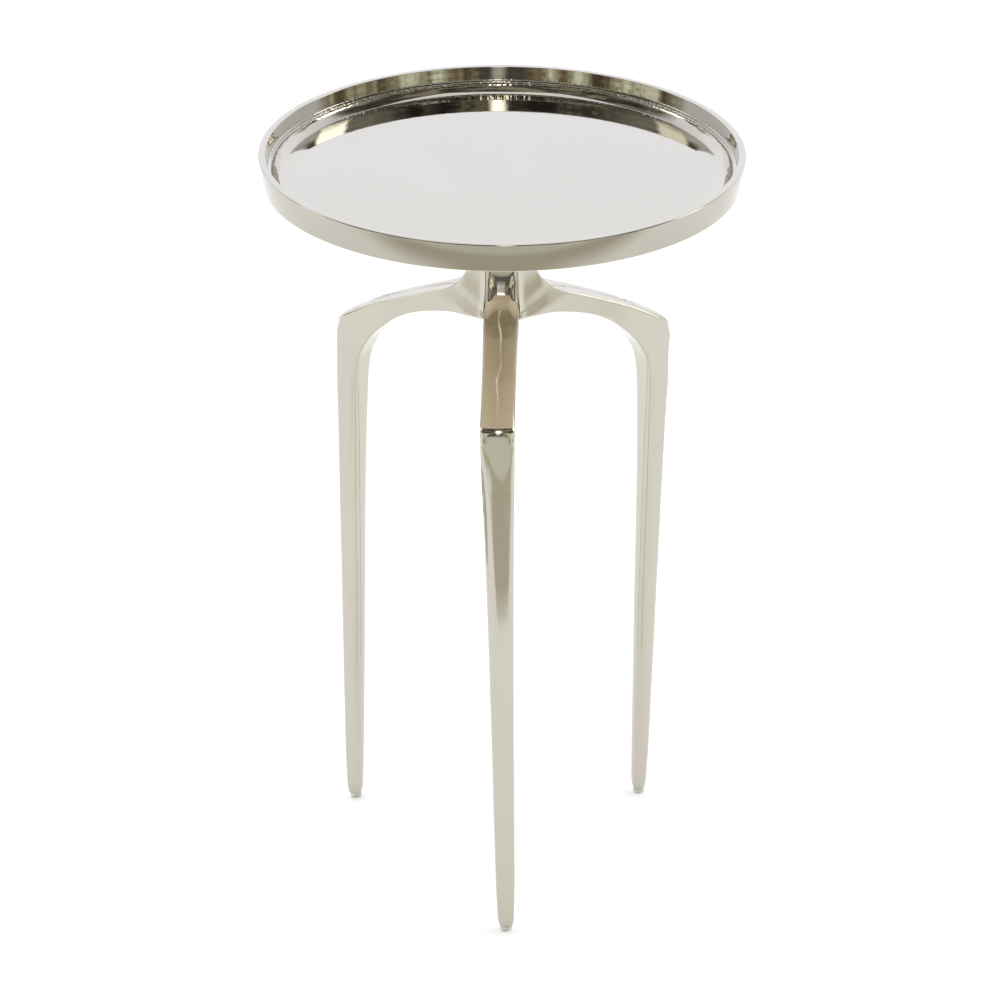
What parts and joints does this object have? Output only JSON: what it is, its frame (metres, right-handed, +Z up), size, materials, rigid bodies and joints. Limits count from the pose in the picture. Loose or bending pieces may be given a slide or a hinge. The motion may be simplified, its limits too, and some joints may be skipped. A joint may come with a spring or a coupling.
{
  "type": "tripod tray side table",
  "caption": "Small round side table: raised-rim polished metal tray on three slender cast legs that join in a waisted neck.",
  "frame": {"origin": "on the floor under the tray axis", "axes": "+Z up along the tray axis, the front leg towards -Y, +X to the right of someone facing the front leg"},
  "size_m": [0.33, 0.33, 0.5465],
  "materials": {
    "tray_metal": "mirror-polished nickel plating on cast and turned aluminium, with faint wipe scratches",
    "leg_metal": "hand-polished nickel plating on cast aluminium, slightly uneven",
    "plate_steel": "satin nickel-plated sheet steel",
    "screw_steel": "zinc-plated machine screws",
    "nut_metal": "nickel-plated dome nut",
    "glide_plastic": "natural translucent nylon"
  },
  "bodies": {
    "root": {"tray": "tray_metal", "mount_plate": "plate_steel", "tray_screws": "screw_steel", "tray_screw_washers": "screw_steel", "leg_front": "leg_metal", "leg_rear_right": "leg_metal", "leg_rear_left": "leg_metal", "leg_screws": "screw_steel", "centre_stud": "screw_steel", "hub_washer": "plate_steel", "hub_nut": "nut_metal", "glide_front": "glide_plastic", "glide_rear_right": "glide_plastic", "glide_rear_left": "glide_plastic"}
  },
  "joints": []
}
